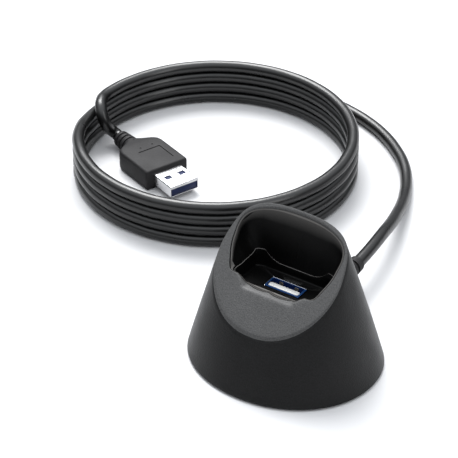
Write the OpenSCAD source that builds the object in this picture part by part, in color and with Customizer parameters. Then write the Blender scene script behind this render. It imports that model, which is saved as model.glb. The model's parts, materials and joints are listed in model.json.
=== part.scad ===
// Desk stand for a USB adapter: an oval cone with a slanted face plate, a docking cup
// with a USB receptacle in its floor, and an extension cord that ends in a USB plug.
// Millimetres. Origin at the centre of the base on the floor, +Z up, the low side of
// the face plate towards -Y, the receptacle's long axis along X.

/* [Stand] */
// Width of the oval base, left to right
base_w = 66; // [60:0.5:80]
// Depth of the oval base, front to back
base_d = 58.6; // [54:0.2:72]
// How far each side leans in for every millimetre of height
side_lean = 0.28; // [0.2:0.01:0.32]
// How far the front and the back lean in for every millimetre of height
front_lean = 0.405; // [0.3:0.005:0.42]
// Height of the slanted top above the centre of the base
plate_rise = 41.6; // [39:0.2:46]
// Tilt of the slanted top
plate_tilt = 45; // [40:1:48]
// Wall of the cone
shell_wall = 2; // [1.6:0.1:2.4]
// Thickness of the face plate, measured upright
plate_t = 3; // [2.4:0.1:4]
// Thickness of the face plate's thin edge that lies on the cone, measured upright
flange_t = 0.6; // [0.5:0.1:1]
// Height that the rubber feet lift the cone
foot_lift = 0.6; // [0.4:0.1:1]

/* [Docking cup] */
// Half width of the cup at its mouth
cup_half_w = 19; // [18:0.1:20]
// Back of the cup at its mouth
cup_back_y = 7.6; // [7:0.1:8]
// Front of the cup at its mouth
cup_front_y = -9; // [-9.6:0.1:-8.4]
// Height of the ledge around the well
ledge_z = 29.6; // [28:0.2:30.6]
// Wall of the cup and of the well
cup_wall = 1.4; // [1:0.1:1.6]
// Width of the well
well_w = 29.6; // [27:0.2:30]
// Back wall of the well
well_back_y = 5.7; // [5:0.1:6]
// Front wall of the well
well_front_y = -8.6; // [-8.8:0.1:-8]
// Height of the well's floor
well_floor_z = 26.5; // [24.5:0.1:26.6]
// Corner radius of the well
well_corner_r = 2; // [1.5:0.1:3]
// Half width of the notch in the front lip
notch_half_w = 8.4; // [7:0.1:9]

/* [Receptacle] */
// Height of the receptacle's mouth
mouth_z = 26.7; // [25.5:0.1:27]
// Place of the receptacle, front to back
socket_y = -0.6; // [-1:0.1:0]
// Outside width of the receptacle's shell
socket_w = 13.1; // [13:0.1:13.4]
// Outside depth of the receptacle's shell
socket_d = 5.7; // [5.6:0.05:6]
// Sheet of the receptacle's shell
sheet_t = 0.3; // [0.25:0.01:0.35]
// Length of the receptacle's shell
socket_len = 13.7; // [13:0.1:14]
// Depth that a plug goes in
mating_depth = 8.7; // [8.4:0.1:9]
// Width of the tongue that carries the contacts
tongue_w = 11.1; // [11:0.05:11.2]
// Thickness of the tongue
tongue_t = 1.84; // [1.7:0.02:1.9]
// Travel of a sprung contact at its tip
contact_travel = 0.35; // [0.25:0.05:0.4]

/* [Cord] */
// Diameter of the cord
cord_d = 4.4; // [4:0.1:4.6]
// Height at which the cord leaves the stand
cord_exit_z = 10.5; // [9.8:0.1:12]
// Radius of the coil at the middle of its turns
coil_r = 50; // [48:0.5:52]
// Turns that lie on each other in the coil
coil_turns = 4; // [3:1:5]
// Centre of the coil, left to right
coil_x = -82.5; // [-90:0.5:-80]
// Centre of the coil, front to back
coil_y = 80; // [78:0.5:86]

/* [Plug] */
// Width of the plug's metal shell
plug_w = 12; // [11.9:0.05:12.1]
// Thickness of the plug's metal shell
plug_t = 4.5; // [4.4:0.05:4.6]
// Length of metal shell that stands out of the grip
plug_out = 11; // [8.5:0.5:12]
// Width of the grip
grip_w = 18; // [15:0.5:19]
// Thickness of the grip
grip_t = 8; // [7.6:0.2:9]
// Straight length of the grip
grip_len = 18; // [14:0.5:20]
// Length of the ribbed neck
neck_len = 8; // [6:0.5:9]

/* [Hidden] */

$fn = 48;
eps = 0.01;
fit_gap = 0.15;                 // clearance between moulded parts
seam_gap = 0.3;                 // dark groove between the cone and the face plate
cut_size = 200;                 // size of the blocks that cut the slanted top
oval_steps = 64;                // points around an oval
cord_r = cord_d / 2;

// ---- shapes that several parts share ----

// A signed power, for ovals that are a little squarer than an ellipse
function signed_pow(v, e) = sign(v) * pow(abs(v), e);

// Points of a squarish oval of half sizes a and b
function oval(a, b, n, z) = [for (i = [0 : oval_steps - 1])
    let (t = 360 * i / oval_steps)
    [a * signed_pow(cos(t), 2 / n), b * signed_pow(sin(t), 2 / n), z]];

// The cone's oval at height z, inset from the outside
function cone_a(z, inset) = base_w / 2 - side_lean * z - inset;
function cone_b(z, inset) = base_d / 2 - front_lean * z - inset;
function cone_n(z) = 2.05 + 0.011 * z;
function cone_ring(z, inset) = oval(cone_a(z, inset), cone_b(z, inset), cone_n(z), z);

// Solid through a list of rings, each a list of points turning the same way
module loft(rings) {
    n = len(rings[0]);
    m = len(rings);
    sides = [for (k = [0 : m - 2], i = [0 : n - 1])
        let (j = (i + 1) % n)
        each [[k * n + i, (k + 1) * n + i, (k + 1) * n + j], [k * n + i, (k + 1) * n + j, k * n + j]]];
    bottom = [for (i = [0 : n - 1]) i];
    top = [for (i = [n - 1 : -1 : 0]) (m - 1) * n + i];
    polyhedron([for (r = rings) each r], concat([bottom], sides, [top]));
}

// The cone as a solid between two heights
top_z = (plate_rise + tan(plate_tilt) * base_d / 2) / (1 + tan(plate_tilt) * front_lean);
module cone_solid(inset, low, high) {
    steps = 4;
    loft([for (k = [0 : steps]) cone_ring(low + (high - low) * k / steps, inset)]);
}

// Everything above the slanted plane, lowered by drop
module above_plane(drop) {
    translate([0, 0, plate_rise - drop])
        rotate([plate_tilt, 0, 0])
            translate([-cut_size / 2, -cut_size / 2, 0])
                cube(cut_size);
}

// The cup's outline at height z, grown outwards
cup_mid_y = -1;
cup_round_z = 43;               // the cup's sides curve in below this height
cup_curve = 3.9;                // how far they curve in at the side ledges
side_ledge_z = ledge_z + 2.7;   // the ledge is higher at the sides and dips at the back and the front
function cup_a(z) = cup_half_w
    - cup_curve * pow(max(0, cup_round_z - z) / (cup_round_z - side_ledge_z), 2);
function cup_back(z) = cup_back_y - cup_mid_y - 0.09 * (top_z - z);
cup_square_top = 2.8;           // how square the back of the cup is at the mouth
cup_square_low = 6;             // and at the ledge
cup_square_front = 20;          // how square its front is
function cup_n(z) = cup_square_top + (cup_square_low - cup_square_top)
    * min(1, max(0, (top_z - 2 - z) / (top_z - 2 - ledge_z)));
function cup_ring(z, grow) = [for (i = [0 : oval_steps - 1])
    let (t = 360 * i / oval_steps, c = cos(t), s = sin(t),
        back = s >= 0,
        n = back ? cup_n(z) : cup_square_front)
    [(cup_a(z) + grow) * signed_pow(c, 2 / n),
        cup_mid_y + signed_pow(s, 2 / n)
            * ((back ? cup_back(z) : cup_mid_y - cup_front_y) + grow), z]];
module cup_solid(grow, low, high) {
    steps = 5;
    loft([for (k = [0 : steps]) cup_ring(low + (high - low) * k / steps, grow)]);
}

// Upright block with round corners
module round_block(x1, x2, y1, y2, z1, z2, r) {
    translate([0, 0, z1])
        linear_extrude(z2 - z1) {
            translate([x1 + r, y1]) square([x2 - x1 - 2 * r, y2 - y1]);
            translate([x1, y1 + r]) square([x2 - x1, y2 - y1 - 2 * r]);
            for (x = [x1 + r, x2 - r], y = [y1 + r, y2 - r])
                translate([x, y]) circle(r);
        }
}

module box(x1, x2, y1, y2, z1, z2) {
    translate([x1, y1, z1]) cube([x2 - x1, y2 - y1, z2 - z1]);
}

module well_block(grow, low, high) {
    round_block(-well_w / 2 - grow, well_w / 2 + grow, well_front_y - grow, well_back_y + grow,
        low, high, well_corner_r + grow);
}

// The notch: a flat bottom at the ledge that ramps up to the lip on both sides
notch_ramp = 3.4;
notch_shoulder = 2.6;
module notch_cut() {
    translate([0, well_front_y + eps, ledge_z])
        rotate([90, 0, 0])
            linear_extrude(20)
                polygon([[-notch_half_w, 0], [notch_half_w, 0],
                    [notch_half_w + 0.45 * notch_ramp, 0.3 * notch_shoulder],
                    [notch_half_w + notch_ramp, 0.8 * notch_shoulder],
                    [notch_half_w + 1.5 * notch_ramp, notch_shoulder],
                    [notch_half_w + 1.5 * notch_ramp, 12],
                    [-notch_half_w - 1.5 * notch_ramp, 12],
                    [-notch_half_w - 1.5 * notch_ramp, notch_shoulder],
                    [-notch_half_w - notch_ramp, 0.8 * notch_shoulder],
                    [-notch_half_w - 0.45 * notch_ramp, 0.3 * notch_shoulder]]);
}

// A screw that points up: pan head below, thread above, origin under the head
module screw(len, r, head_r, head_t) {
    difference() {
        union() {
            cylinder(h = head_t, r = head_r);
            translate([0, 0, head_t]) cylinder(h = len, r = r);
        }
        for (a = [0, 90])
            rotate(a) translate([-head_r * 0.6, -0.2, -eps]) cube([head_r * 1.2, 0.4, head_t * 0.55]);
    }
}

// ---- the cone, its face and its base ----

base_z = foot_lift;
cover_z = base_z + 0.2;         // the base cover is set in a little
cover_t = 2;
cover_top = cover_z + cover_t;
screw_r = 1.1;
screw_hole_r = screw_r + 0.05;
head_r = 2;
head_t = 1.3;
boss_r = 2.6;
boss_x = 19;
boss_y = 13;
boss_top = 13;
lug_z = well_floor_z - cup_wall;
lug_x = 19.8;
lug_y = -2;
lug_r = 2.3;
lug_t = 2.6;
lug_boss_t = 5.6;
skirt_t = 1;
skirt_h = 2.4;
lip_t = 0.4;                    // thin lip of the cup that shows inside the face plate
lip_drop = 0.4;
lip_seat_z = ledge_z - 1.2;     // underside of the face plate's front lip
lip_half_w = 15.5;
relief_r = 3.9;                 // strain relief where it passes the wall
foot_r = 3.5;
foot_x = 11;
foot_y = 18.5;
foot_pocket = 0.5;
seat_depth = 0.7;               // the groove under the face plate is this deep
body_back_y = 2;                // behind this only the plate's thin edge goes round the cup

module corners(x, y) {
    for (sx = [-1, 1], sy = [-1, 1])
        translate([sx * x, sy * y, 0]) children();
}

module pair(x, y, z) {
    for (sx = [-1, 1])
        translate([sx * x, y, z]) children();
}

// Everything below the slanted plane, lowered by drop
module under_plane(drop) {
    translate([0, 0, plate_rise - drop])
        rotate([plate_tilt, 0, 0])
            translate([-cut_size / 2, -cut_size / 2, -cut_size])
                cube(cut_size);
}

// The layer between two planes, each lowered from the slanted top
module slab(high, low) {
    difference() {
        under_plane(high);
        under_plane(low);
    }
}

// Everything in front of y
module in_front(y) {
    box(-cut_size / 2, cut_size / 2, -cut_size / 2, y, -cut_size / 2, cut_size / 2);
}

// A bar from x outwards on both sides
module wall_ribs(x, y, t, z1, z2) {
    box(x, 40, y - t / 2, y + t / 2, z1, z2);
    box(-40, -x, y - t / 2, y + t / 2, z1, z2);
}

module cone_shell() {
    color([0.18, 0.18, 0.18]) difference() {
        union() {
            difference() {
                cone_solid(0, base_z, top_z + 1);
                cone_solid(shell_wall, base_z - 1, top_z + 2);
            }
            intersection() {
                cone_solid(shell_wall / 2, base_z, top_z);
                union() {
                    corners(boss_x, boss_y)
                        translate([0, 0, cover_top]) cylinder(h = boss_top - cover_top, r = boss_r);
                    wall_ribs(boss_x, boss_y, 1.2, cover_top, boss_top);
                    wall_ribs(boss_x, -boss_y, 1.2, cover_top, boss_top);
                    pair(lug_x, lug_y, lug_z - lug_boss_t) cylinder(h = lug_boss_t, r = lug_r);
                    wall_ribs(lug_x, lug_y, 2, lug_z - lug_boss_t, lug_z);
                }
            }
        }
        above_plane(flange_t);
        difference() {
            above_plane(flange_t + seam_gap);
            cone_solid(seat_depth, 5, top_z + 4);
        }
        cup_solid(cup_wall + fit_gap, ledge_z - cup_wall, top_z + 3);
        corners(boss_x, boss_y) cylinder(h = boss_top - 1, r = screw_hole_r);
        pair(lug_x, lug_y, 10) cylinder(h = 30, r = screw_hole_r);
        translate([0, 12, cord_exit_z]) rotate([-90, 0, 0]) cylinder(h = 40, r = relief_r + fit_gap);
    }
}

// Room that the face plate's front lip takes out of the cup's wall
module lip_room(gap) {
    box(-lip_half_w - gap, lip_half_w + gap, -22, -6, lip_seat_z - gap, top_z);
}

module face_plate() {
    color([0.37, 0.37, 0.375]) difference() {
        union() {
            intersection() {
                cone_solid(0, 10, top_z + 1);
                slab(0, flange_t);
            }
            intersection() {
                cone_solid(shell_wall + fit_gap, 10, top_z + 1);
                slab(flange_t / 2, plate_t);
                in_front(body_back_y);
            }
            // skirt that drops into the cone
            intersection() {
                difference() {
                    cone_solid(shell_wall + fit_gap, 10, top_z + 1);
                    cone_solid(shell_wall + fit_gap + skirt_t, 9, top_z + 2);
                }
                slab(plate_t / 2, plate_t + skirt_h);
                in_front(body_back_y);
            }
            intersection() {
                lip_room(0);
                cone_solid(shell_wall + fit_gap, 10, top_z + 1);
                slab(plate_t / 2, plate_t + 4.4);
            }
        }
        cup_solid(lip_t + fit_gap, lip_seat_z - 3, top_z + 3);
        difference() {
            intersection() {
                cup_solid(cup_wall + 2 * fit_gap, lip_seat_z - 3, top_z + 3);
                under_plane(plate_t);
            }
            lip_room(0);
        }
        notch_cut();
    }
}

// ---- the cup with its well ----

post_x = 12.5;
post_y = -1;
post_r = 2.3;
board_t = 1.6;
board_top = mouth_z - socket_len;
board_z = board_top - board_t;
mouth_gap = 0.3;                // the floor's opening is this much larger than the receptacle

module docking_cup() {
    color([0.08, 0.08, 0.08]) difference() {
        union() {
            difference() {
                intersection() {
                    union() {
                        cup_solid(cup_wall, ledge_z - cup_wall, top_z + 2);
                        well_block(cup_wall, lug_z, ledge_z + 6);
                    }
                    under_plane(plate_t + fit_gap);
                }
                lip_room(fit_gap);
            }
            intersection() {
                cup_solid(lip_t, ledge_z - cup_wall, top_z + 2);
                under_plane(lip_drop);
            }
            // lugs for the insert screws and posts for the circuit board
            intersection() {
                cone_solid(shell_wall + fit_gap, 10, top_z);
                union() {
                    pair(lug_x, lug_y, lug_z) cylinder(h = lug_t, r = lug_r);
                    box(well_w / 2, lug_x, lug_y - lug_r, lug_y + lug_r, lug_z, lug_z + lug_t);
                    box(-lug_x, -well_w / 2, lug_y - lug_r, lug_y + lug_r, lug_z, lug_z + lug_t);
                }
            }
            pair(post_x, post_y, board_top) cylinder(h = lug_z + 0.5 - board_top, r = post_r);
        }
        cup_solid(0, ledge_z, top_z + 3);
        well_block(0, well_floor_z, ledge_z + 6);
        notch_cut();
        box(-socket_w / 2 - mouth_gap, socket_w / 2 + mouth_gap, socket_y - socket_d / 2 - mouth_gap,
            socket_y + socket_d / 2 + mouth_gap, lug_z - 1, well_floor_z + 1);
        pair(lug_x, lug_y, lug_z - 1) cylinder(h = lug_t + 0.4, r = screw_hole_r);
        pair(post_x, post_y, board_top - 1) cylinder(h = 8, r = screw_hole_r);
    }
}

// ---- what closes and weights the base ----

cradle_half_w = 8;
cradle_y1 = 13;
cradle_y2 = 17;
cradle_split = 0.4;             // the clamp pulls down on the cord over this gap
clamp_screw_x = 5.6;
clamp_top = cord_exit_z + 3.6;
ballast_t = 4;
ballast_half_w = 15.5;
ballast_y1 = -19;
ballast_y2 = 9;
peg_r = 1.5;
peg_x = 10;
peg_y = -8;

module base_cover() {
    color([0.1, 0.1, 0.1]) difference() {
        union() {
            cone_solid(shell_wall + fit_gap, cover_z, cover_top);
            box(-cradle_half_w, cradle_half_w, cradle_y1, cradle_y2, cover_top - 1,
                cord_exit_z - cradle_split / 2);
            pair(peg_x, peg_y, cover_top - 1) cylinder(h = ballast_t + 1.6, r = peg_r);
        }
        corners(boss_x, boss_y) {
            cylinder(h = 10, r = screw_hole_r + 0.1);
            cylinder(h = cover_z + head_t, r = head_r + 0.2);
        }
        corners(foot_x, foot_y) cylinder(h = cover_z + foot_pocket, r = foot_r);
        translate([0, cradle_y1 - 1, cord_exit_z]) rotate([-90, 0, 0]) cylinder(h = 6, r = cord_r);
        pair(clamp_screw_x, (cradle_y1 + cradle_y2) / 2, cover_top + 1) cylinder(h = 20, r = 0.85);
    }
}

module rubber_feet() {
    color([0.12, 0.12, 0.12])
        corners(foot_x, foot_y) cylinder(h = cover_z + foot_pocket, r = foot_r);
}

module base_screws() {
    color([0.6, 0.6, 0.62])
        corners(boss_x, boss_y) translate([0, 0, cover_z]) screw(8, screw_r, head_r, head_t);
}

module ballast_plate() {
    color([0.5, 0.5, 0.52]) difference() {
        round_block(-ballast_half_w, ballast_half_w, ballast_y1, ballast_y2, cover_top,
            cover_top + ballast_t, 3);
        pair(peg_x, peg_y, 0) cylinder(h = 20, r = peg_r + fit_gap);
    }
}

module insert_screws() {
    color([0.6, 0.6, 0.62])
        pair(lug_x, lug_y, lug_z - lug_boss_t - head_t)
            screw(lug_boss_t + lug_t - 0.8, screw_r, head_r, head_t);
}

// ---- the receptacle on its board ----

latch_x = 2.9;
latch_w = 1.4;
latch_t = 0.25;
latch_root_z = board_top + 3.1;
latch_len = 9.6;
latch_bulge = 0.6;
latch_gap = 0.3;
body_h = 5;
tongue_y = socket_y - 0.55;
tongue_top = mouth_z - 0.5;
carrier_root = 2;
groove_w = 1.2;
groove_deep = 1.1;
contact_w = 0.8;
contact_t = 0.2;
contact_x = [-3.5, -1, 1, 3.5];
contact_root_z = board_top + body_h + 0.4;
contact_len = 5.6;
pad_x = [-4, -2, 0, 2, 4];
pad_w = 0.8;
pad_h = 1.3;

module receptacle_shell() {
    y1 = socket_y - socket_d / 2;
    y2 = socket_y + socket_d / 2;
    color([0.75, 0.76, 0.78]) difference() {
        union() {
            round_block(-socket_w / 2, socket_w / 2, y1, y2, board_top, mouth_z, 0.5);
            for (sx = [-1, 1], sy = [-1.6, 1.6])
                translate([sx * (socket_w / 2 - sheet_t / 2) - sheet_t / 2, socket_y + sy - 0.5, board_z - 1])
                    cube([sheet_t, 1, board_t + 1 + eps]);
        }
        round_block(-socket_w / 2 + sheet_t, socket_w / 2 - sheet_t, y1 + sheet_t, y2 - sheet_t,
            board_top - 1 - eps + 1, mouth_z + 1, 0.3);
        for (sx = [-1, 1])
            box(sx * latch_x - latch_w / 2 - latch_gap, sx * latch_x + latch_w / 2 + latch_gap,
                y2 - 1, y2 + 1, latch_root_z, latch_root_z + latch_len + latch_gap);
    }
}

module receptacle_body() {
    color([0.02, 0.1, 0.45]) difference() {
        round_block(-socket_w / 2 + sheet_t + 0.05, socket_w / 2 - sheet_t - 0.05,
            socket_y - socket_d / 2 + sheet_t + 0.05, socket_y + socket_d / 2 - sheet_t - 0.05,
            board_top, board_top + body_h, 0.35);
        box(-tongue_w / 2 - 0.05, tongue_w / 2 + 0.05, tongue_y - tongue_t / 2 - 0.05,
            tongue_y + tongue_t / 2 + 0.05, board_top + body_h - carrier_root, mouth_z);
        for (sx = [-1, 1])
            box(sx * latch_x - latch_w / 2 - latch_gap, sx * latch_x + latch_w / 2 + latch_gap,
                socket_y + socket_d / 2 - sheet_t - 1.2, socket_y + 5, latch_root_z - 0.3, mouth_z);
    }
}

module contact_carrier() {
    color([0.9, 0.9, 0.88]) difference() {
        union() {
            box(-tongue_w / 2, tongue_w / 2, tongue_y - tongue_t / 2, tongue_y + tongue_t / 2,
                board_top + body_h - carrier_root, tongue_top - 0.4);
            round_block(-tongue_w / 2, tongue_w / 2, tongue_y - tongue_t / 2, tongue_y + tongue_t / 2,
                tongue_top - 1, tongue_top, 0.5);
        }
        for (x = contact_x)
            box(x - groove_w / 2, x + groove_w / 2, tongue_y + tongue_t / 2 - groove_deep, socket_y + 5,
                contact_root_z, contact_root_z + contact_len + 0.3);
    }
}

// One sprung contact: a strip with a bump that stands proud of the tongue
module contact_springs() {
    face = tongue_y + tongue_t / 2;
    color([0.85, 0.65, 0.25])
        for (x = contact_x)
            translate([x - contact_w / 2, 0, 0])
                rotate([90, 0, 90])
                    linear_extrude(contact_w)
                        translate([face, contact_root_z + 0.02])
                            polygon([[-0.1 - contact_t, 0], [-0.1, 0], [-0.1, 2.6],
                                [contact_travel, 3.9], [contact_travel, 4.4], [-0.1, 5.5],
                                [-0.1 - contact_t, contact_len], [-0.1 - contact_t, 4.9],
                                [contact_travel - contact_t, 4.3], [contact_travel - contact_t, 4],
                                [-0.1 - contact_t, 2.7]]);
}

module contact_pads() {
    color([0.85, 0.65, 0.25])
        for (x = pad_x)
            box(x - pad_w / 2, x + pad_w / 2, tongue_y + tongue_t / 2, tongue_y + tongue_t / 2 + 0.06,
                tongue_top - 0.2 - pad_h, tongue_top - 0.2);
}

// Spring tongue in the shell's window, bulging inwards to hold a plug
module latch_spring(sx) {
    y2 = socket_y + socket_d / 2;
    color([0.75, 0.76, 0.78])
        translate([sx * latch_x - latch_w / 2, 0, 0])
            rotate([90, 0, 90])
                linear_extrude(latch_w)
                    translate([y2 - sheet_t, latch_root_z + 0.05])
                        polygon([[0, 0], [latch_t, 0], [latch_t, 2.4],
                            [latch_t - latch_bulge, latch_len - 1.8],
                            [latch_t - latch_bulge, latch_len - 1.2],
                            [latch_t - 0.4, latch_len - 0.1], [-0.4, latch_len - 0.1],
                            [-latch_bulge, latch_len - 1.1], [-latch_bulge, latch_len - 1.9], [0, 2.3]]);
}

module latch_spring_left() { latch_spring(-1); }
module latch_spring_right() { latch_spring(1); }

board_half_w = 15;
board_y1 = -12;
board_y2 = 7;
module circuit_board() {
    color([0.05, 0.3, 0.12]) difference() {
        box(-board_half_w, board_half_w, board_y1, board_y2, board_z, board_top);
        pair(post_x, post_y, board_z - 1) cylinder(h = 4, r = screw_hole_r + 0.1);
        for (sx = [-1, 1], sy = [-1.6, 1.6])
            translate([sx * (socket_w / 2 - sheet_t / 2) - sheet_t / 2 - 0.1, socket_y + sy - 0.6, board_z - 1])
                cube([sheet_t + 0.2, 1.2, 4]);
    }
}

// Protection chip and two capacitors on the board, soldered pads for the wires
module board_parts() {
    color([0.15, 0.15, 0.15]) {
        box(-1.6, 1.6, -9.8, -7, board_top, board_top + 0.9);
        box(-5.5, -3.9, -8.4, -7.5, board_top, board_top + 0.8);
        box(3.9, 5.5, -8.4, -7.5, board_top, board_top + 0.8);
    }
}

module board_screws() {
    color([0.6, 0.6, 0.62])
        pair(post_x, post_y, board_z - head_t) screw(board_t + 6, screw_r, head_r, head_t);
}

// ---- where the cord enters ----

relief_y = 20.4;                // outer face of the inner flange
relief_end = 44;
module strain_relief() {
    color([0.12, 0.12, 0.12]) translate([0, 0, cord_exit_z]) rotate([-90, 0, 0])
        difference() {
            union() {
                translate([0, 0, relief_y - 1.4]) cylinder(h = 1.4, r = 5.2);
                translate([0, 0, relief_y - eps]) cylinder(h = 30 - relief_y, r = relief_r);
                translate([0, 0, 30 - 2 * eps]) cylinder(h = relief_end - 30, r1 = relief_r, r2 = 2.75);
            }
            translate([0, 0, 10]) cylinder(h = 40, r = cord_r + 0.05);
            for (y = [31, 34, 37, 40])
                translate([0, 0, y]) difference() {
                    cylinder(h = 1.1, r = 6);
                    translate([0, 0, -1]) cylinder(h = 4, r1 = 3.5 - 0.09 * (y - 30), r2 = 3.2 - 0.09 * (y - 30));
                }
        }
}

module cord_clamp() {
    mid = (cradle_y1 + cradle_y2) / 2;
    color([0.1, 0.1, 0.1]) difference() {
        box(-cradle_half_w, cradle_half_w, cradle_y1, cradle_y2, cord_exit_z + cradle_split / 2, clamp_top);
        translate([0, cradle_y1 - 1, cord_exit_z]) rotate([-90, 0, 0]) cylinder(h = 6, r = cord_r);
        pair(clamp_screw_x, mid, 0) cylinder(h = 40, r = 1);
    }
}

module clamp_screws() {
    mid = (cradle_y1 + cradle_y2) / 2;
    color([0.6, 0.6, 0.62])
        pair(clamp_screw_x, mid, clamp_top + 1.2) mirror([0, 0, 1]) screw(8.5, 0.8, 1.6, 1.2);
}

module inner_cord() {
    color([0.14, 0.14, 0.14])
        translate([0, 10, cord_exit_z]) rotate([-90, 0, 0]) cylinder(h = relief_end - 10, r = cord_r);
}

// ---- tubes along a route ----

function spline(a, b, c, d, t) = 0.5 * (2 * b + (c - a) * t + (2 * a - 5 * b + 4 * c - d) * t * t
    + (3 * b - a - 3 * c + d) * t * t * t);
function route(p, n) = [for (i = [0 : len(p) - 2], k = [0 : n - 1])
    spline(p[max(0, i - 1)], p[i], p[i + 1], p[min(len(p) - 1, i + 2)], k / n)];
function unit(v) = v / norm(v);
function heading(q, i) = unit(q[min(len(q) - 1, i + 1)] - q[max(0, i - 1)]);
function tube_ring(c, t, r, n) = let (side = unit(cross([0, 0, 1], t)), up = cross(t, side))
    [for (j = [0 : n - 1]) c + r * (cos(360 * j / n) * side + sin(360 * j / n) * up)];
module tube(p, r, steps, n, first) {
    q = concat(route(p, steps), [p[len(p) - 1]]);
    loft([for (i = [0 : len(q) - 1]) tube_ring(q[i], i == 0 ? first : heading(q, i), r, n)]);
}

wire_r = 0.32;
wire_x = [-1.4, -0.7, 0, 0.7, 1.4];
module core_wires() {
    color([0.7, 0.3, 0.2])
        for (x = wire_x)
            tube([[x, 10, cord_exit_z], [1.3 * x, 9.1, cord_exit_z + 0.9], [1.8 * x, 8.2, board_top - 0.4],
                [2.4 * x, 7.6, board_top + 0.6], [2.9 * x, 6.4, board_top + 0.9],
                [3.1 * x, 4.8, board_top + wire_r]], wire_r, 2, 6, [0, -1, 0]);
}

// Route of the cord from the strain relief down to the floor and round to the coil
lead_route = [[0, 44, cord_exit_z], [-0.6, 52, cord_exit_z], [-1.6, 59, cord_exit_z - 0.3],
    [-3, 66, cord_exit_z - 1.1], [-5.5, 76.5, 7.4], [-8, 84.5, 5.8], [-10.6, 92, 4.3],
    [-14, 100, 3], [-18.5, 108.8, cord_r], [-25, 118.2, cord_r], [-32.5, 125.6, cord_r],
    [-41.5, 132.2, cord_r], [-50, 136.6, cord_r], [-60, 140, cord_r], [-71, 141.8, cord_r]];
lead_turn = [[90, 60.5], [105, 58.5], [120, 56.5], [135, 54.6], [150, 52.8]];
module cord_lead() {
    last = [for (a = lead_turn) [coil_x + a[1] * cos(a[0]), coil_y + a[1] * sin(a[0]), cord_r]];
    color([0.14, 0.14, 0.14]) tube(concat(lead_route, last), cord_r, 3, 10, [0, 1, 0]);
}

module cord_coil() {
    color([0.14, 0.14, 0.14]) translate([coil_x, coil_y, 0])
        rotate_extrude($fn = 96) {
            for (k = [0 : coil_turns - 1])
                translate([coil_r, cord_r + k * cord_d]) circle(cord_r, $fn = 24);
            for (k = [0 : coil_turns - 2])
                translate([coil_r - cord_r / 2, k * cord_d + cord_r]) square([cord_r, cord_d]);
        }
}

// The other end leaves the top turn, drops inside the coil and meets the plug's neck
tail_turn = [[176, 50, 15.4], [182, 49.6, 15.6], [187, 48.1, 16]];
tail_route = [[-128.2, 71.2, 15.2], [-126.4, 69.9, 12.6], [-125.2, 70.4, 9.4],
    [-124.9, 72.3, 6.6], [-123.3, 73.5, 4.7]];
module cord_tail() {
    first = [for (a = tail_turn) [coil_x + a[1] * cos(a[0]), coil_y + a[1] * sin(a[0]), a[2]]];
    color([0.14, 0.14, 0.14])
        tube(concat(first, tail_route, [at_plug(-plug_back)]), cord_r, 4, 10, [-0.5, -0.87, 0]);
}

// ---- the plug ----

plug_x = -81.2;
plug_y = 58.2;
plug_turn = -20.3;
shoulder_len = 5;
neck_r1 = 3.7;
neck_r2 = 3.1;
plug_back = plug_out + grip_len + shoulder_len + neck_len;
function at_plug(x) = [plug_x + x * cos(plug_turn), plug_y + x * sin(plug_turn), grip_t / 2];

module on_plug() {
    translate([plug_x, plug_y, grip_t / 2]) rotate(plug_turn) children();
}

// A slice of the grip, a rounded block along the plug
module grip_slice(x1, x2, w, t, r) {
    translate([x1, 0, 0]) rotate([90, 0, 90])
        linear_extrude(x2 - x1) {
            square([w - 2 * r, t], center = true);
            square([w, t - 2 * r], center = true);
            for (sx = [-1, 1], sy = [-1, 1])
                translate([sx * (w / 2 - r), sy * (t / 2 - r)]) circle(r);
        }
}

module plug_grip() {
    back = -plug_out - grip_len;
    color([0.2, 0.2, 0.2]) on_plug() difference() {
        union() {
            grip_slice(back, -plug_out - 0.6, grip_w, grip_t, 1.6);
            grip_slice(-plug_out - 0.7, -plug_out, grip_w - 1, grip_t - 1, 1.2);
            hull() {
                grip_slice(back, back + 0.2, grip_w, grip_t, 1.6);
                grip_slice(back - 2.6, back - 2.4, grip_w - 3, grip_t - 0.4, 2.4);
            }
            hull() {
                grip_slice(back - 2.6, back - 2.4, grip_w - 3, grip_t - 0.4, 2.4);
                grip_slice(back - shoulder_len, back - shoulder_len + 0.2, 2 * neck_r1 + 0.8, 2 * neck_r1 - 0.2, 3.2);
            }
        }
        // room for the shell, the insulator and the neck's root
        box(-plug_out - 8.05, 1, -plug_w / 2, plug_w / 2, -plug_t / 2, plug_t / 2);
        // marking groove and two dots on top
        translate([0, 0, grip_t / 2 - 0.3]) {
            box(back + 4.8, back + 5.3, -3.7, 5.5, 0, 2);
            box(back + 4.8, back + 14.2, 5, 5.5, 0, 2);
            for (y = [-1.4, 3.7]) translate([back + 2.7, y, 0]) cylinder(h = 2, r = 0.3);
        }
    }
}

module plug_neck() {
    back = -plug_out - grip_len - shoulder_len;
    color([0.13, 0.13, 0.13]) on_plug() translate([back, 0, 0]) rotate([0, -90, 0]) difference() {
        cylinder(h = neck_len, r1 = neck_r1, r2 = neck_r2);
        for (k = [0 : 2])
            translate([0, 0, 1.2 + 2.3 * k]) difference() {
                cylinder(h = 1, r = 6);
                translate([0, 0, -1]) cylinder(h = 3, r = neck_r2 - 0.25 - 0.12 * k);
            }
    }
}

module plug_shell() {
    color([0.8, 0.81, 0.83]) on_plug() difference() {
        grip_slice(-plug_out - 8, 0, plug_w, plug_t, 0.6);
        grip_slice(-plug_out - 9, 1, plug_w - 2 * sheet_t, plug_t - 2 * sheet_t, 0.4);
        for (sy = [-1, 1])
            box(-7.1, -5, sy * 2.93 - 1.1, sy * 2.93 + 1.1, -5, 5);
    }
}

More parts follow.
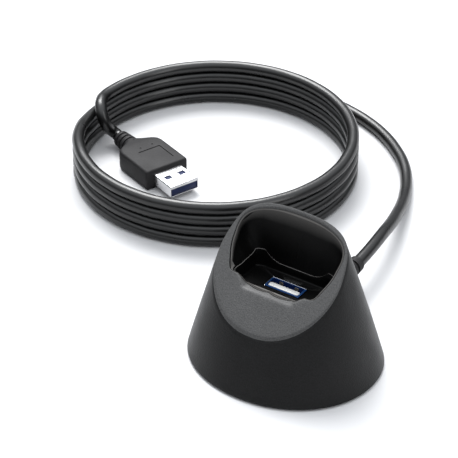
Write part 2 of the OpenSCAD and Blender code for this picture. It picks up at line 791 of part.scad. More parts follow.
insulator_top = 0.1;
module plug_insulator() {
    color([0.02, 0.06, 0.3]) on_plug() intersection() {
        grip_slice(-plug_out - 8, -0.3, plug_w - 2 * sheet_t - 0.1, plug_t - 2 * sheet_t - 0.1, 0.4);
        union() {
            box(-plug_out - 9, 1, -plug_w, plug_w, -plug_t, insulator_top);
            box(-plug_out - 9, -plug_out, -plug_w, plug_w, -plug_t, plug_t);
        }
    }
}

module plug_contact_pads() {
    color([0.85, 0.65, 0.25]) on_plug()
        for (y = contact_x)
            box(-plug_out + 0.6, -1.4, y - 0.5, y + 0.5, insulator_top, insulator_top + 0.06);
}

// ---- draw ----

cone_shell();
face_plate();
docking_cup();
base_cover();
rubber_feet();
base_screws();
ballast_plate();
insert_screws();
receptacle_shell();
receptacle_body();
contact_carrier();
contact_springs();
contact_pads();
latch_spring_left();
latch_spring_right();
circuit_board();
board_parts();
board_screws();
strain_relief();
cord_clamp();
clamp_screws();
inner_cord();
core_wires();
cord_lead();
cord_coil();
cord_tail();
plug_grip();
plug_neck();
plug_shell();
plug_insulator();
plug_contact_pads();
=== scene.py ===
import json
import math
import bpy
import numpy as np
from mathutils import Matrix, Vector


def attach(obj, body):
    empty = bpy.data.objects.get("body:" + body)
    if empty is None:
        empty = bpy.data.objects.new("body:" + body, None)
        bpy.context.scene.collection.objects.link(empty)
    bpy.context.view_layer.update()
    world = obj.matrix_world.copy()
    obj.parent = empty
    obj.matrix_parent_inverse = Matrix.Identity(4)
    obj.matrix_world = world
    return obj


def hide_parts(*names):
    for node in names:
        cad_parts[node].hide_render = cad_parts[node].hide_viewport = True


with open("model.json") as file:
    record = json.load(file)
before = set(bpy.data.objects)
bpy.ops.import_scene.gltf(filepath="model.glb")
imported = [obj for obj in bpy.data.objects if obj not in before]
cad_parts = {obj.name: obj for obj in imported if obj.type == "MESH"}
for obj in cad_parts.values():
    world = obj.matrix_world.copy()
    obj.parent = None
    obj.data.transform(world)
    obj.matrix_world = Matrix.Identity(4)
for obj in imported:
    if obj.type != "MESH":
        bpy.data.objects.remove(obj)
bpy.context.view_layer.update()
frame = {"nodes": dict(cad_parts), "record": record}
nodes = frame["nodes"]
mm = 0.001


viewPlan = dict(place=(0.3008, -0.4737, 0.4209), look=(-0.469, 0.688, -0.553), lens=169.6)


def makeCamera(plan):
    data = bpy.data.cameras.new("camera")
    data.lens = plan["lens"]
    data.sensor_width = 36
    data.clip_start = 0.05
    data.clip_end = 20
    cam = bpy.data.objects.new("camera", data)
    bpy.context.scene.collection.objects.link(cam)
    cam.location = plan["place"]
    cam.rotation_mode = "QUATERNION"
    cam.rotation_quaternion = Vector(plan["look"]).to_track_quat("-Z", "Y")
    bpy.context.scene.camera = cam


makeCamera(viewPlan)
print("camera set")


# millimetres, and angles round the coil in degrees; each turn climbs between two of them
cordPlan = dict(radius=2.2, coilX=-82.5, coilY=80, coilR=50, levels=4, stepFrom=178, stepTo=226,
                firstAt=195, leaveAt=176, every=15)
# straight out of the sleeve, down to the floor, round the outside of the coil
leadPoints = [(0, 41, 10.5), (0, 44, 10.5), (-0.6, 52, 10.5), (-1.6, 59, 10.2), (-3, 66, 9.4),
              (-5.5, 76.5, 7.4), (-8, 84.5, 5.8), (-10.6, 92, 4.3), (-14, 100, 3),
              (-18.5, 108.8, 2.2), (-25, 118.2, 2.2), (-32.5, 125.6, 2.2), (-41.5, 132.2, 2.2),
              (-50, 136.6, 2.2), (-60, 140, 2.2), (-71, 141.8, 2.2)]
# angle round the coil and distance from its middle, where the lead joins the first turn
joinPoints = [(90, 60.5), (105, 58.5), (120, 56.5), (135, 54.6), (150, 52.8), (165, 51.3),
              (180, 50.4)]
# the other end leaves the top turn inwards and drops to the plug
leavePoints = [(176, 50, 15.4), (182, 49.6, 15.6), (187, 48.1, 16)]
tailPoints = [(-128.2, 71.2, 15.2), (-126.4, 69.9, 12.6), (-125.2, 70.4, 9.4),
              (-124.9, 72.3, 6.6), (-123.3, 73.5, 4.7), (-120.59, 72.77, 4)]


def smoothStep(t):
    t = min(1, max(0, t))
    return t * t * (3 - 2 * t)


def roundCoil(plan, angle, radius, z):
    a = math.radians(angle)
    return (plan["coilX"] + radius * math.cos(a), plan["coilY"] + radius * math.sin(a), z)


def cordRoute(plan):
    d = 2 * plan["radius"]
    points = list(leadPoints)
    points += [roundCoil(plan, a, r, plan["radius"]) for a, r in joinPoints]
    last = 360 * plan["levels"] + plan["leaveAt"]
    angle = plan["firstAt"]
    while angle < last - plan["every"] / 3:
        turn = (angle - plan["stepFrom"]) // 360
        into = angle - plan["stepFrom"] - 360 * turn
        rise = smoothStep(into / (plan["stepTo"] - plan["stepFrom"]))
        level = turn - 1 + rise if turn > 0 else 0
        points.append(roundCoil(plan, angle, plan["coilR"], plan["radius"] + d * level))
        angle += plan["every"]
    points += [roundCoil(plan, a, r, z) for a, r, z in leavePoints]
    return points + tailPoints


def lineLength(points):
    return sum(math.dist(a, b) for a, b in zip(points, points[1:]))


def makeCord(plan):
    points = cordRoute(plan)
    data = bpy.data.curves.new("cord", "CURVE")
    data.dimensions = "3D"
    data.bevel_depth = plan["radius"]
    data.bevel_resolution = 7
    data.resolution_u = 6
    data.use_fill_caps = True
    spline = data.splines.new("BEZIER")
    spline.bezier_points.add(len(points) - 1)
    for p, q in zip(spline.bezier_points, points):
        p.co = q
        p.handle_left_type = p.handle_right_type = "AUTO"
    cord = bpy.data.objects.new("cord", data)
    bpy.context.scene.collection.objects.link(cord)
    cord.scale = (mm, mm, mm)  # the curve is drawn in millimetres
    return cord, lineLength(points) * mm


cord, cordLength = makeCord(cordPlan)
print("cord made, length", round(cordLength, 3))
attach(cord, "dock")
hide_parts("cord_lead", "cord_coil", "cord_tail")


def newMaterial(name):
    mat = bpy.data.materials.new(name)
    mat.use_nodes = True
    tree = mat.node_tree
    shader = tree.nodes["Principled BSDF"]
    return mat, tree, shader


driftSize, polishSize = 70, 110  # scale of the slow changes, in waves to the metre
reliefDepth = 0.0001


def grainMaterial(name, color, rough, grain=0.25, size=2600, blotch=0.06, bump=0.15,
                  metallic=0, level=0.5, stretch=(1, 1, 1), paintedHighlight=(0.2, 0.2, 0.2), coat=0,
                  roughVary=0.1):
    # Speckle in the colour, slow drift in colour and polish, fine relief, and a painted highlight:
    # a lighter colour mixed in by a per-point value on the mesh.
    mat, tree, shader = newMaterial(name)
    link = tree.links.new
    coords = tree.nodes.new("ShaderNodeTexCoord")
    mapping = tree.nodes.new("ShaderNodeMapping")
    mapping.inputs["Scale"].default_value = stretch
    link(coords.outputs["Object"], mapping.inputs["Vector"])

    def noise(scale, detail, low, high):
        made = tree.nodes.new("ShaderNodeTexNoise")
        made.inputs["Scale"].default_value = scale
        made.inputs["Detail"].default_value = detail
        link(mapping.outputs["Vector"], made.inputs["Vector"])
        ranged = tree.nodes.new("ShaderNodeMapRange")
        ranged.inputs["From Min"].default_value = 0.3
        ranged.inputs["From Max"].default_value = 0.7
        ranged.inputs["To Min"].default_value = low
        ranged.inputs["To Max"].default_value = high
        link(made.outputs["Fac"], ranged.inputs["Value"])
        return ranged.outputs["Result"]

    def scaled(vector, factor):
        node = tree.nodes.new("ShaderNodeVectorMath")
        node.operation = "SCALE"
        if isinstance(vector, tuple):
            node.inputs[0].default_value = vector
        else:
            link(vector, node.inputs[0])
        link(factor, node.inputs["Scale"])
        return node.outputs["Vector"]

    fine = noise(size, 2, 1 - grain, 1 + grain)
    tone = scaled(scaled(color, fine), noise(driftSize, 3, 1 - blotch, 1 + blotch))
    # painted highlight: the colour is mixed towards the lighter one where the mesh's value is up
    edge = tree.nodes.new("ShaderNodeAttribute")
    edge.attribute_name = "paintedHighlight"
    mix = tree.nodes.new("ShaderNodeMix")
    mix.data_type = "RGBA"
    link(edge.outputs["Fac"], mix.inputs[0])
    link(tone, mix.inputs[6])
    mix.inputs[7].default_value = (*paintedHighlight, 1)
    link(mix.outputs[2], shader.inputs["Base Color"])
    link(noise(polishSize, 2, rough * (1 - roughVary), rough * (1 + roughVary)),
         shader.inputs["Roughness"])
    relief = tree.nodes.new("ShaderNodeBump")
    relief.inputs["Strength"].default_value = bump
    relief.inputs["Distance"].default_value = reliefDepth
    link(noise(size * 0.8, 2, 0, 1), relief.inputs["Height"])
    link(relief.outputs["Normal"], shader.inputs["Normal"])
    shader.inputs["Metallic"].default_value = metallic
    shader.inputs["Specular IOR Level"].default_value = level
    shader.inputs["Coat Weight"].default_value = coat
    shader.inputs["Coat Roughness"].default_value = 0.25
    return mat


finishes = dict(
    black_plastic=grainMaterial("blackPlastic", (0.0042, 0.0042, 0.0043), 0.42, grain=0.5,
                                bump=0.3, level=0.2),
    grey_plastic=grainMaterial("greyPlastic", (0.042, 0.042, 0.042), 0.55, grain=0.34, bump=0.3,
                               level=0.3),
    # the cup's lighter colour on its ledge edge and rim is a painted highlight
    cup_plastic=grainMaterial("cupPlastic", (0.0009, 0.0009, 0.0009), 0.4, grain=0.2, bump=0.12,
                              level=0.09, paintedHighlight=(0.12, 0.115, 0.11)),
    rubber=grainMaterial("rubber", (0.018, 0.018, 0.018), 0.8, grain=0.3, bump=0.5, level=0.3),
    steel=grainMaterial("steel", (0.55, 0.55, 0.56), 0.35, grain=0.08, metallic=1, bump=0.08,
                        stretch=(1, 1, 0.2)),
    # its lighter colour is a painted glint, used on the latch springs
    bright_sheet=grainMaterial("brightSheet", (0.5, 0.5, 0.51), 0.24, grain=0.04, metallic=1,
                               bump=0.04, stretch=(0.15, 1, 1), paintedHighlight=(0.7, 0.7, 0.7)),
    # its lighter colour is a painted highlight on the lining's top rim
    blue_plastic=grainMaterial("bluePlastic", (0.0005, 0.006, 0.04), 0.35, grain=0.12, bump=0.1,
                               level=0.2, paintedHighlight=(0.003, 0.035, 0.11)),
    white_plastic=grainMaterial("whitePlastic", (0.42, 0.42, 0.41), 0.4, grain=0.05, bump=0.08),
    gold_contact=grainMaterial("goldContact", (0.83, 0.6, 0.25), 0.28, grain=0.06, metallic=1,
                               bump=0.05),
    board=grainMaterial("board", (0.012, 0.085, 0.03), 0.35, grain=0.18, size=900, bump=0.1,
                        coat=0.4),
    chip=grainMaterial("chip", (0.02, 0.02, 0.021), 0.5, grain=0.2, bump=0.2),
    soft_black=grainMaterial("softBlack", (0.0135, 0.013, 0.0135), 0.55, grain=0.3, bump=0.35,
                             level=0.15, paintedHighlight=(0.06, 0.06, 0.06)),
    cord_jacket=grainMaterial("cordJacket", (0.0055, 0.0055, 0.0056), 0.34, grain=0.15,
                              size=1600, bump=0.08, level=0.34),
    wire_jacket=grainMaterial("wireJacket", (0.5, 0.09, 0.07), 0.4, grain=0.08, bump=0.08))
# the cord's curve is drawn in millimetres, so its texture is too
cordSleeve = grainMaterial("cordSleeve", (0.0018, 0.0018, 0.0018), 0.3, grain=0.2, size=1600,
                           bump=0.1, level=0.45, stretch=(mm, mm, mm))
slots = {s["node"]: s["material_slot"] for s in frame["record"]["subparts"]}


def smoothByAngle(obj, degrees):
    mesh = obj.data
    for poly in mesh.polygons:
        poly.use_smooth = True
    mesh.set_sharp_from_angle(angle=math.radians(degrees))


for name, obj in nodes.items():
    obj.data.materials.clear()
    obj.data.materials.append(finishes[slots[name]])
    smoothByAngle(obj, 30)
cord.data.materials.append(cordSleeve)
print("materials made")


stand = dict(width=66, depth=58.6, sideLean=0.28, frontLean=0.405, rise=41.6, square=2.05,
             squareRise=0.011, low=0.6, wall=2, flange=0.6, seam=0.3, steps=256, rows=26)
cup = dict(midY=-1, halfW=19, back=8.6, front=8, backLean=0.09, curve=3.9, roundZ=43,
           squareTop=2.8, squareLow=6, frontSquare=20, ledge=29.6, sideLedge=32.3, lip=0.4,
           lipDrop=0.4, gap=0.15, edge=0.14)
well = dict(halfW=14.8, front=-8.6, back=5.7, floor=26.5, corner=1.8, peak=33)
mouth = dict(halfW=6.85, front=-3.75, back=2.55, corner=0.6)  # the hole in the well's floor
# distance from the middle and height of the notch in the cup's front; it is in front of notchY
notchY = -6
notch = [(0, 29.6), (8.4, 29.6), (9, 29.8), (9.8, 30.3), (10.6, 31), (11.4, 31.6), (12.4, 32.1),
         (13.6, 32.35), (15.2, 32.5), (15.9, 33), (16.4, 34), (16.8, 40)]
topZ = (stand["rise"] + stand["depth"] / 2) / (1 + stand["frontLean"])


def signedPow(v, e):
    return math.copysign(abs(v) ** e, v)


def ovalPoint(t, z, inset=0):
    a = stand["width"] / 2 - stand["sideLean"] * z - inset
    b = stand["depth"] / 2 - stand["frontLean"] * z - inset
    n = stand["square"] + stand["squareRise"] * z
    return (a * signedPow(math.cos(t), 2 / n), b * signedPow(math.sin(t), 2 / n), z)


def planeZ(y):
    return stand["rise"] + y


def seamPoint(t, drop, inset=0):
    # Where the cone's side meets the slanted plane lowered by drop.
    low, high = 5, 60
    for _ in range(40):
        z = (low + high) / 2
        x, y, _z = ovalPoint(t, z, inset)
        if z < planeZ(y) - drop:
            low = z
        else:
            high = z
    return ovalPoint(t, low, inset)


def meshObject(name, points, faces, slot):
    mesh = bpy.data.meshes.new(name)
    mesh.from_pydata([[c * mm for c in p] for p in points], [], faces)
    mesh.validate()
    obj = bpy.data.objects.new(name, mesh)
    bpy.context.scene.collection.objects.link(obj)
    mesh.materials.append(finishes[slot])
    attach(obj, "dock")
    return obj


def addPaintedHighlight(obj, values):
    # per-point amounts of painted highlight for the material's mix
    layer = obj.data.attributes.new("paintedHighlight", "FLOAT", "POINT")
    layer.data.foreach_set("value", values)


def ringStack(name, rings, slot, sharp=35, closed=True, paintedHighlight=None, caps=False):
    # A skin through rings of points. With closed, the last ring joins the first. With caps,
    # the first and last rings are filled. A ring's value paints a lighter colour onto it, a painted
    # highlight.
    n = len(rings[0])
    points = [p for ring in rings for p in ring]
    count = len(rings)
    faces = []
    for k in range(count if closed else count - 1):
        a, b = k * n, (k + 1) % count * n
        for i in range(n):
            j = (i + 1) % n
            faces.append((a + i, a + j, b + j, b + i))
    if caps:
        faces.append(tuple(range(n))[::-1])
        faces.append(tuple(range((count - 1) * n, count * n)))
    obj = meshObject(name, points, faces, slot)
    addPaintedHighlight(obj, [(paintedHighlight or {}).get(k, 0) for k in range(count) for _ in range(n)])
    smoothByAngle(obj, sharp)
    return obj


def makeCone():
    # The cone's outer skin, its seam under the face plate and its inner wall.
    low, drop = stand["low"], stand["flange"] + stand["seam"]
    edge, over = 0.45, 0.35  # the foot's rounding, and how far below the top the straight side ends
    angles = [2 * math.pi * i / stand["steps"] for i in range(stand["steps"])]
    tops = [seamPoint(t, drop) for t in angles]
    rings = [[ovalPoint(t, low + lift, inset) for t in angles]
             for inset, lift in ((edge, 0), (0.2, 0.06), (0.06, 0.2), (0, edge))]
    for k in range(1, stand["rows"]):
        f = k / stand["rows"]
        rings.append([ovalPoint(t, low + edge + (top[2] - over - low - edge) * f)
                      for t, top in zip(angles, tops)])
    for down, inset in ((0.3, 0), (0.12, 0.05)):
        rings.append([ovalPoint(t, top[2] - down, inset) for t, top in zip(angles, tops)])
    under = stand["flange"] + 0.02
    for down, inset in ((drop, 0.18), (drop, 0.7), (under, 0.72), (under, 1.9)):
        rings.append([seamPoint(t, down, inset) for t in angles])
    rings.append([ovalPoint(t, seamPoint(t, 3, 1.9)[2], 1.95) for t in angles])
    rings.append([ovalPoint(t, low, stand["wall"]) for t in angles])
    return ringStack("coneSkin", rings, "black_plastic")


cone = makeCone()
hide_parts("cone_shell")


polarSteps = 384
outlineSteps = 1440
polarAngles = 2 * np.pi * np.arange(polarSteps) / polarSteps


def polar(loop):
    # Distance of a loop from its middle at each of the polar angles.
    p = np.array(loop)
    a = np.arctan2(p[:, 1], p[:, 0]) % (2 * np.pi)
    order = np.argsort(a)
    return np.interp(polarAngles, a[order], np.hypot(p[order, 0], p[order, 1]),
                     period=2 * np.pi)


def cupOutline(z):
    # Points of the cup's inside at height z, as one loop.
    a = cup["halfW"] - cup["curve"] * (max(0, cup["roundZ"] - z)
                                       / (cup["roundZ"] - cup["sideLedge"])) ** 2
    b = cup["back"] - cup["backLean"] * (topZ - z)
    f = min(1, max(0, (topZ - 2 - z) / (topZ - 2 - cup["ledge"])))
    backN = cup["squareTop"] + (cup["squareLow"] - cup["squareTop"]) * f
    loop = []
    for i in range(outlineSteps):
        t = 2 * math.pi * i / outlineSteps
        isBack = math.sin(t) >= 0
        n = backN if isBack else cup["frontSquare"]
        sy = signedPow(math.sin(t), 2 / n)
        loop.append((a * signedPow(math.cos(t), 2 / n), sy * (b if isBack else cup["front"])))
    return loop


def tidyRect(w, d, r, midY=0, perCorner=8):
    # A rounded rectangle about (0, midY), the same number of points whatever its size.
    loop = []
    for sx, sy, a0 in ((1, 1, 0), (-1, 1, 90), (-1, -1, 180), (1, -1, 270)):
        cx, cy = sx * (w / 2 - r), sy * (d / 2 - r)
        for k in range(perCorner + 1):
            a = math.radians(a0 + 90 * k / perCorner)
            loop.append((cx + r * math.cos(a), midY + cy + r * math.sin(a)))
    return loop


def polarRect(place):
    # A rounded rectangle's distance from the cup's middle at each of the polar angles.
    steps = 24
    loop = tidyRect(2 * place["halfW"], place["back"] - place["front"], place["corner"],
                    (place["back"] + place["front"]) / 2, steps)
    dense = []
    for (x, y), (u, v) in zip(loop, loop[1:] + loop[:1]):
        dense += [(x + (u - x) * k / steps, y + (v - y) * k / steps - cup["midY"])
                  for k in range(steps)]
    return polar(dense)


cupHeights = np.linspace(cup["ledge"] - 1, topZ + 1, 60)
cupTable = np.array([polar(cupOutline(z)) for z in cupHeights])


def cupRadius(i, z):
    return float(np.interp(z, cupHeights, cupTable[:, i]))


def polarPoint(i, r, z):
    a = polarAngles[i]
    return (r * math.cos(a), cup["midY"] + r * math.sin(a), z)


def notchZ(x):
    xs, zs = zip(*notch)
    return float(np.interp(abs(x), xs, zs))


def cupTop(i, grow, drop):
    # Height where the cup's wall, grown outwards, ends at the slanted plane or the notch.
    z = 40
    for _ in range(60):
        x, y, _z = polarPoint(i, cupRadius(i, z) + grow, z)
        goal = planeZ(y) - drop
        if y < notchY:
            goal = min(goal, notchZ(x))
        z += 0.5 * (goal - z)
    return z


wellLoop = polarRect(well)


def makeCup():
    ledge, floor = cup["ledge"], well["floor"]
    hole = polarRect(mouth)
    rings = [[] for _ in range(17)]
    for i in range(polarSteps):
        rw = min(wellLoop[i], cupRadius(i, well["peak"]))
        crease = ledge
        if cupRadius(i, ledge) < rw:
            low, high = ledge, 44
            for _ in range(30):
                crease = (low + high) / 2
                if cupRadius(i, crease) < rw:
                    low = crease
                else:
                    high = crease
        top = max(cupTop(i, 0, cup["lipDrop"]), crease + 0.02)
        outer = max(cupTop(i, cup["lip"], cup["lipDrop"]), crease + 0.02)
        wall = max(cupRadius(i, crease), rw + 0.02)
        e = cup["edge"]
        profile = [(hole[i], floor - 1.4), (hole[i], floor - 0.1), (hole[i] + 0.1, floor),
                   (rw - 0.5, floor), (rw - 0.15, floor + 0.12), (rw, floor + 0.5),
                   (rw, (floor + crease) / 2), (rw, crease - e), (rw + 0.35 * e, crease - 0.3 * e),
                   (rw + e, crease)]
        up = top - crease
        profile.append((max(wall, rw + e + 0.01), crease + 0.03))
        for f in (0.25, 0.5, 0.75):
            z = crease + up * f
            profile.append((max(cupRadius(i, z), rw), z))
        profile.append((max(cupRadius(i, top - 0.1), rw), top - 0.1))
        profile.append((max(cupRadius(i, top), rw) + 0.1, top))
        profile.append((max(cupRadius(i, outer), rw) + cup["lip"], outer))
        for ring, (r, z) in zip(rings, profile):
            ring.append(polarPoint(i, r, z))
    rings.append([polarPoint(i, math.hypot(x, y - cup["midY"]), z - 2.5)
                  for i, (x, y, z) in enumerate(rings[-1])])
    # painted highlight on the ledge's chamfer (rings 8, 9) and on the cup's rim and lip (rings 14
    # to 16)
    return ringStack("cupSkin", rings, "cup_plastic", 50, closed=False,
                     paintedHighlight={8: 1, 9: 1, 14: 0.35, 15: 0.6, 16: 0.35})


cupSkin = makeCup()
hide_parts("docking_cup")


def seamLoop(drop, inset=0):
    # The seam's distance from the cup's middle at each of the polar angles.
    loop = [seamPoint(2 * math.pi * k / outlineSteps, drop, inset) for k in range(outlineSteps)]
    return polar([(x, y - cup["midY"]) for x, y, _z in loop])


def makePlate():
    # The slanted plate as a smooth height over the ground between the cup and the cone.
    edge = seamLoop(0)
    grow = cup["lip"] + cup["gap"]
    rows = [0, 0.02, 0.05, 0.1, 0.16, 0.23, 0.31, 0.4, 0.5, 0.6, 0.7, 0.8, 0.88, 0.94]

    def height(x, y):
        z = planeZ(y)
        if y > notchY:
            return z
        floor = notchZ(x)
        k = 0.35
        h = max(0, k - abs(z - floor)) / k
        return min(z, floor) - h * h * k / 4

    def ring(distances, over):
        places = [polarPoint(i, d, 0) for i, d in enumerate(distances)]
        return [(x, y, over(x, y)) for x, y, _z in places]

    rings = []
    starts = [cupRadius(i, cupTop(i, grow, 0)) + grow for i in range(polarSteps)]
    for out, drop in ((0, 2.6), (0, 0.35), (0.08, 0.06)):
        rings.append([polarPoint(i, r + out, height(*polarPoint(i, r, 0)[:2]) - drop)
                      for i, r in enumerate(starts)])
    for f in rows:
        rings.append(ring([r + 0.3 + (e - 0.35 - r - 0.3) * f for r, e in zip(starts, edge)],
                          height))
    for inset, drop in ((0.3, 0.01), (0.12, 0.06), (0.02, 0.2)):
        rings.append(ring(edge - inset, lambda x, y: planeZ(y) - drop))
    for inset in (0, 0.9):
        rings.append(ring(seamLoop(stand["flange"], inset),
                          lambda x, y: planeZ(y) - stand["flange"]))
    return ringStack("plateSkin", rings, "grey_plastic", 40, closed=False)


plate = makePlate()
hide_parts("face_plate")
print("stand made")


port = dict(midY=-0.6, w=13.1, d=5.7, sheet=0.3, mouth=26.7, low=13, floor=18, lining=0.45,
            tongueY=-1.45, tongueW=11.3, tongueT=2.1, tongueTop=26.6)


def portRing(inset, z, r=0.5):
    return [(x, y, z) for x, y in
            tidyRect(port["w"] - 2 * inset, port["d"] - 2 * inset, max(r - inset, 0.12),
                     port["midY"])]


def makePortShell():
    t, top = port["sheet"], port["mouth"]
    rings = [portRing(0, port["low"]), portRing(0, top - 0.1), portRing(0.03, top - 0.03),
             portRing(0.1, top), portRing(t - 0.08, top), portRing(t, top - 0.08),
             portRing(t, port["low"])]
    return ringStack("portShell", rings, "bright_sheet", 40)


def makePortBody():
    # The moulded body, with the lining that covers the shell's inside and, at the front and on
    # the right, its edge.
    t, wall, top = port["sheet"] + 0.02, port["lining"], port["mouth"]

    def ring(out, z):
        x1, x2 = -port["w"] / 2 + t + out, port["w"] / 2 - t - out
        y1, y2 = port["midY"] - port["d"] / 2 + t + out, port["midY"] + port["d"] / 2 - t - out
        if out < 0.1 and z > top - 0.2:
            x2, y1 = x2 + t, y1 - t
        return [(x + (x1 + x2) / 2, y, z)
                for x, y in tidyRect(x2 - x1, y2 - y1, 0.35, (y1 + y2) / 2)]

    rings = [ring(0, port["low"]), ring(0, top - 0.19), ring(0.001, top - 0.02),
             ring(0.05, top + 0.04), ring(wall - 0.05, top + 0.04), ring(wall, top - 0.06),
             ring(wall, port["floor"])]
    # painted highlight on the lining's top rim (rings 3, 4)
    return ringStack("portBody", rings, "blue_plastic", 40, closed=False, caps=True,
                     paintedHighlight={3: 0.5, 4: 0.5})


def makeTongue():
    w, d, y, top = port["tongueW"], port["tongueT"], port["tongueY"], port["tongueTop"]
    rings = []
    for inset, z in ((0, 16), (0, top - 0.3), (0.06, top - 0.1), (0.2, top)):
        rings.append([(u, v, z) for u, v in
                      tidyRect(w - 2 * inset, d - 2 * inset, 0.75 - inset, y)])
    return ringStack("portTongue", rings, "white_plastic", 50, closed=False, caps=True)


latch = dict(x=2.9, y=1.95, low=16.2, w=1.4, t=0.25)


def makeLatch(side):
    # A sheet spring in the back of the shell, bulging into the mouth to hold a plug.
    x, y, low, w, t = side * latch["x"], latch["y"], latch["low"], latch["w"], latch["t"]
    line = [(0, 0), (0, 2.4), (-0.6, 9.2), (-0.62, 9.5), (-0.58, 9.8), (-0.35, 10.3)]
    face = [(y + v, low + z) for v, z in line]
    face += [(y + v + t, low + z) for v, z in line[::-1]]
    rings = [[(x + s * w / 2, v, z) for v, z in face] for s in (-1, 1)]
    # the whole spring is painted lighter, a painted glint so its tip shows as a bright dot
    spring = ringStack("latch" + ("Left" if side < 0 else "Right"), rings, "bright_sheet", 30,
                       closed=False, caps=True, paintedHighlight={0: 0.6, 1: 0.6})
    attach(spring, "latch_left" if side < 0 else "latch_right")
    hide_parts("latch_spring_left" if side < 0 else "latch_spring_right")
    return spring


for side in (-1, 1):
    makeLatch(side)
portShell = makePortShell()
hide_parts("receptacle_shell")
portBody = makePortBody()
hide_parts("receptacle_body")
tongue = makeTongue()
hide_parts("contact_carrier")
print("receptacle made")


plug = dict(x=-81.2, y=58.2, turn=-20.3, midZ=4, out=11, gripW=18, gripT=8, gripLen=18,
            shoulder=5, neckR1=3.7, neckR2=3.1, neckLen=8, w=12, t=4.5, sheet=0.3)


def onPlug(x, y, z):
    a = math.radians(plug["turn"])
    return (plug["x"] + x * math.cos(a) - y * math.sin(a),
            plug["y"] + x * math.sin(a) + y * math.cos(a), plug["midZ"] + z)


def plugRing(x, w, t, r, lift=0):
    return [onPlug(x, u, v + lift) for u, v in tidyRect(w, t, r)]


def cutAway(obj, boxes):
    # Takes boxes, given on the plug's own axes, out of a piece.
    for x1, x2, y1, y2, z1, z2 in boxes:
        corners = [onPlug(x, y, z) for x in (x1, x2) for y in (y1, y2) for z in (z1, z2)]
        faces = [(0, 1, 3, 2), (4, 6, 7, 5), (0, 4, 5, 1), (2, 3, 7, 6), (0, 2, 6, 4),
                 (1, 5, 7, 3)]
        mesh = bpy.data.meshes.new("cutter")
        mesh.from_pydata([[c * mm for c in p] for p in corners], [], faces)
        cutter = bpy.data.objects.new("cutter", mesh)
        bpy.context.scene.collection.objects.link(cutter)
        step = obj.modifiers.new("cut", "BOOLEAN")
        step.operation = "DIFFERENCE"
        step.solver = "EXACT"
        step.object = cutter
        bpy.context.view_layer.update()
        done = bpy.data.meshes.new_from_object(
            obj.evaluated_get(bpy.context.evaluated_depsgraph_get()))
        obj.modifiers.remove(step)
        obj.data = done
        bpy.data.objects.remove(cutter)
    smoothByAngle(obj, 32)


def makeGrip():
    # Sections from the neck to the front: place along the plug, width, thickness, corner.
    back = -plug["out"] - plug["gripLen"]
    w, t = plug["gripW"], plug["gripT"]
    rows = [(back - plug["shoulder"], 2 * plug["neckR1"] + 0.7, 2 * plug["neckR1"] - 0.2, 3.4),
            (back - 4.2, 9.8, 7.3, 3.2), (back - 3.4, 11.8, 7.45, 2.9),
            (back - 2.6, 13.8, 7.6, 2.4), (back - 1.8, 15.4, 7.8, 1.9),
            (back - 1, 16.6, 7.9, 1.5), (back - 0.2, 17.4, 7.97, 1.3),
            (back + 0.8, 17.85, t, 1.2), (back + 2, w, t, 1.15), (back + 8, w, t, 1.1),
            (-plug["out"] - 1, w, t, 1.1), (-plug["out"] - 0.5, w - 0.14, t - 0.14, 1.05),
            (-plug["out"] - 0.2, w - 0.5, t - 0.5, 0.9), (-plug["out"], w - 1.2, t - 1.2, 0.7)]
    grip = ringStack("gripSkin", [plugRing(*row) for row in rows], "soft_black", 32,
                     closed=False, caps=True)
    top = t / 2
    grooves = [(back + 4.8, back + 5.3, -3.7, 5.2, top - 0.3, top + 1),
               (back + 5, back + 14.2, 5, 5.5, top - 0.3, top + 1),
               (back + 2.4, back + 3, -1.7, -1.1, top - 0.25, top + 1),
               (back + 2.4, back + 3, 3.4, 4, top - 0.25, top + 1)]
    cutAway(grip, grooves)
    return grip


def makeNeck():
    # A tapering sleeve with three shallow rings pressed into it.
    back = -plug["out"] - plug["gripLen"] - plug["shoulder"]
    r1, r2, length = plug["neckR1"], plug["neckR2"], plug["neckLen"]
    marks = []
    for k in range(3):
        s = 1 + 2.3 * k
        marks += [(s, 0), (s + 0.12, 0.06), (s + 0.2, 0.55), (s + 0.85, 0.55), (s + 0.93, 0.06),
                  (s + 1.05, 0)]
    steps = [(-0.6, 0)] + marks + [(length - 0.4, 0), (length - 0.1, 0.12), (length, 0.4)]
    turns = [2 * math.pi * k / 64 for k in range(64)]
    rings = []
    for s, deep in steps:
        r = r1 + (r2 - r1) * s / length - deep
        rings.append([onPlug(back - s, r * math.cos(a), r * math.sin(a)) for a in turns])
    return ringStack("neckSkin", rings, "soft_black", 40, closed=False, caps=True)


def makePlugShell():
    # The folded sheet, open at the front below a turned-down lip.
    w, t, sheet = plug["w"], plug["t"], plug["sheet"]
    rows = [(-plug["out"] - 2, 0), (-0.12, 0), (-0.03, 0.04), (0, 0.1), (0, sheet - 0.05),
            (-0.05, sheet), (-plug["out"] - 2, sheet)]
    rings = [plugRing(x, w - 2 * i, t - 2 * i, max(0.6 - i, 0.2)) for x, i in rows]
    shell = ringStack("plugShell", rings, "bright_sheet", 40)
    windows = [(-7.1, -5, s * 2.93 - 1.25, s * 2.93 + 1.25, 0.3, 4) for s in (-1, 1)]
    cutAway(shell, windows)
    return shell


def makePlugLip():
    w, sheet = plug["w"], plug["sheet"]
    half = w / 2 - sheet - 0.02
    side = [(-0.35, 1.93), (-0.02, 1.95), (-0.16, 0.9), (-0.3, 0.84), (-0.45, 0.9)]
    rings = [[onPlug(x, y, z) for x, z in side] for y in (-half, half)]
    return ringStack("plugLip", rings, "bright_sheet", 30, closed=False, caps=True)


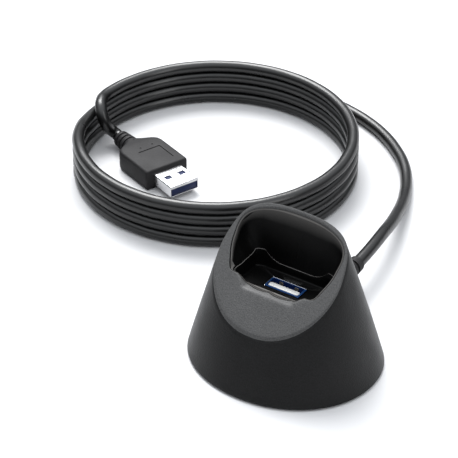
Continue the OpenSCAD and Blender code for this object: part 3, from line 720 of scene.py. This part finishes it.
def makePlugBlock():
    w, t, sheet = plug["w"], plug["t"], plug["sheet"]
    high, low = 1.9, -t / 2 + sheet + 0.02
    tall = high - low
    rings = [plugRing(x, w - 2 * sheet - 0.04 - 2 * i, tall - 2 * i, 0.25, (high + low) / 2)
             for x, i in ((-plug["out"] - 2, 0), (-0.42, 0), (-0.34, 0.08))]
    return ringStack("plugBlock", rings, "blue_plastic", 40, closed=False, caps=True)


grip = makeGrip()
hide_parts("plug_grip")
neck = makeNeck()
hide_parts("plug_neck")
plugShell = makePlugShell()
plugLip = makePlugLip()
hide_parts("plug_shell")
plugBlock = makePlugBlock()
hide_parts("plug_insulator")
print("plug made")


studio = dict(floorHalf=0.9, floorColor=(0.45, 0.45, 0.455), floorRough=0.9,
              skyLow=0.16, skyHigh=2.4, skyColor=(0.93, 0.96, 1), middle=(-0.05, 0.05, 0))


def makeFloor():
    mesh = bpy.data.meshes.new("floor")
    s = studio["floorHalf"]
    mesh.from_pydata([(-s, -s, 0), (s, -s, 0), (s, s, 0), (-s, s, 0)], [], [(0, 1, 2, 3)])
    floor = bpy.data.objects.new("floor", mesh)
    bpy.context.scene.collection.objects.link(floor)
    floor.location.z = -0.0001
    mat, _tree, shader = newMaterial("floorWhite")
    shader.inputs["Base Color"].default_value = (*studio["floorColor"], 1)
    shader.inputs["Roughness"].default_value = studio["floorRough"]
    mesh.materials.append(mat)


def makeLight(name, place, size, power):
    data = bpy.data.lights.new(name, "AREA")
    data.shape = "RECTANGLE"
    data.size, data.size_y = size
    data.energy = power
    light = bpy.data.objects.new(name, data)
    bpy.context.scene.collection.objects.link(light)
    light.location = place
    light.rotation_mode = "QUATERNION"
    aim = Vector(studio["middle"]) - Vector(place)
    light.rotation_quaternion = aim.to_track_quat("-Z", "Y")


def makeWorld():
    # A soft sky that is dim at the horizon and brightest overhead.
    world = bpy.data.worlds.new("studio")
    world.use_nodes = True
    tree = world.node_tree
    back = tree.nodes["Background"]
    back.inputs["Color"].default_value = (*studio["skyColor"], 1)
    coords = tree.nodes.new("ShaderNodeTexCoord")
    split = tree.nodes.new("ShaderNodeSeparateXYZ")
    tree.links.new(coords.outputs["Generated"], split.inputs["Vector"])
    ranged = tree.nodes.new("ShaderNodeMapRange")
    ranged.interpolation_type = "SMOOTHSTEP"
    ranged.inputs["From Min"].default_value = 0.1
    ranged.inputs["From Max"].default_value = 1
    ranged.inputs["To Min"].default_value = studio["skyLow"]
    ranged.inputs["To Max"].default_value = studio["skyHigh"]
    tree.links.new(split.outputs["Z"], ranged.inputs["Value"])
    tree.links.new(ranged.outputs["Result"], back.inputs["Strength"])
    return world


makeFloor()
makeLight("keyLight", (-0.7, 0.6, 1.3), (0.9, 0.9), 46)
makeLight("fillLight", (1.2, -0.1, 0.7), (0.35, 0.9), 4)
bpy.context.scene.world = makeWorld()
bpy.context.scene.view_settings.view_transform = "Standard"
print("studio made")
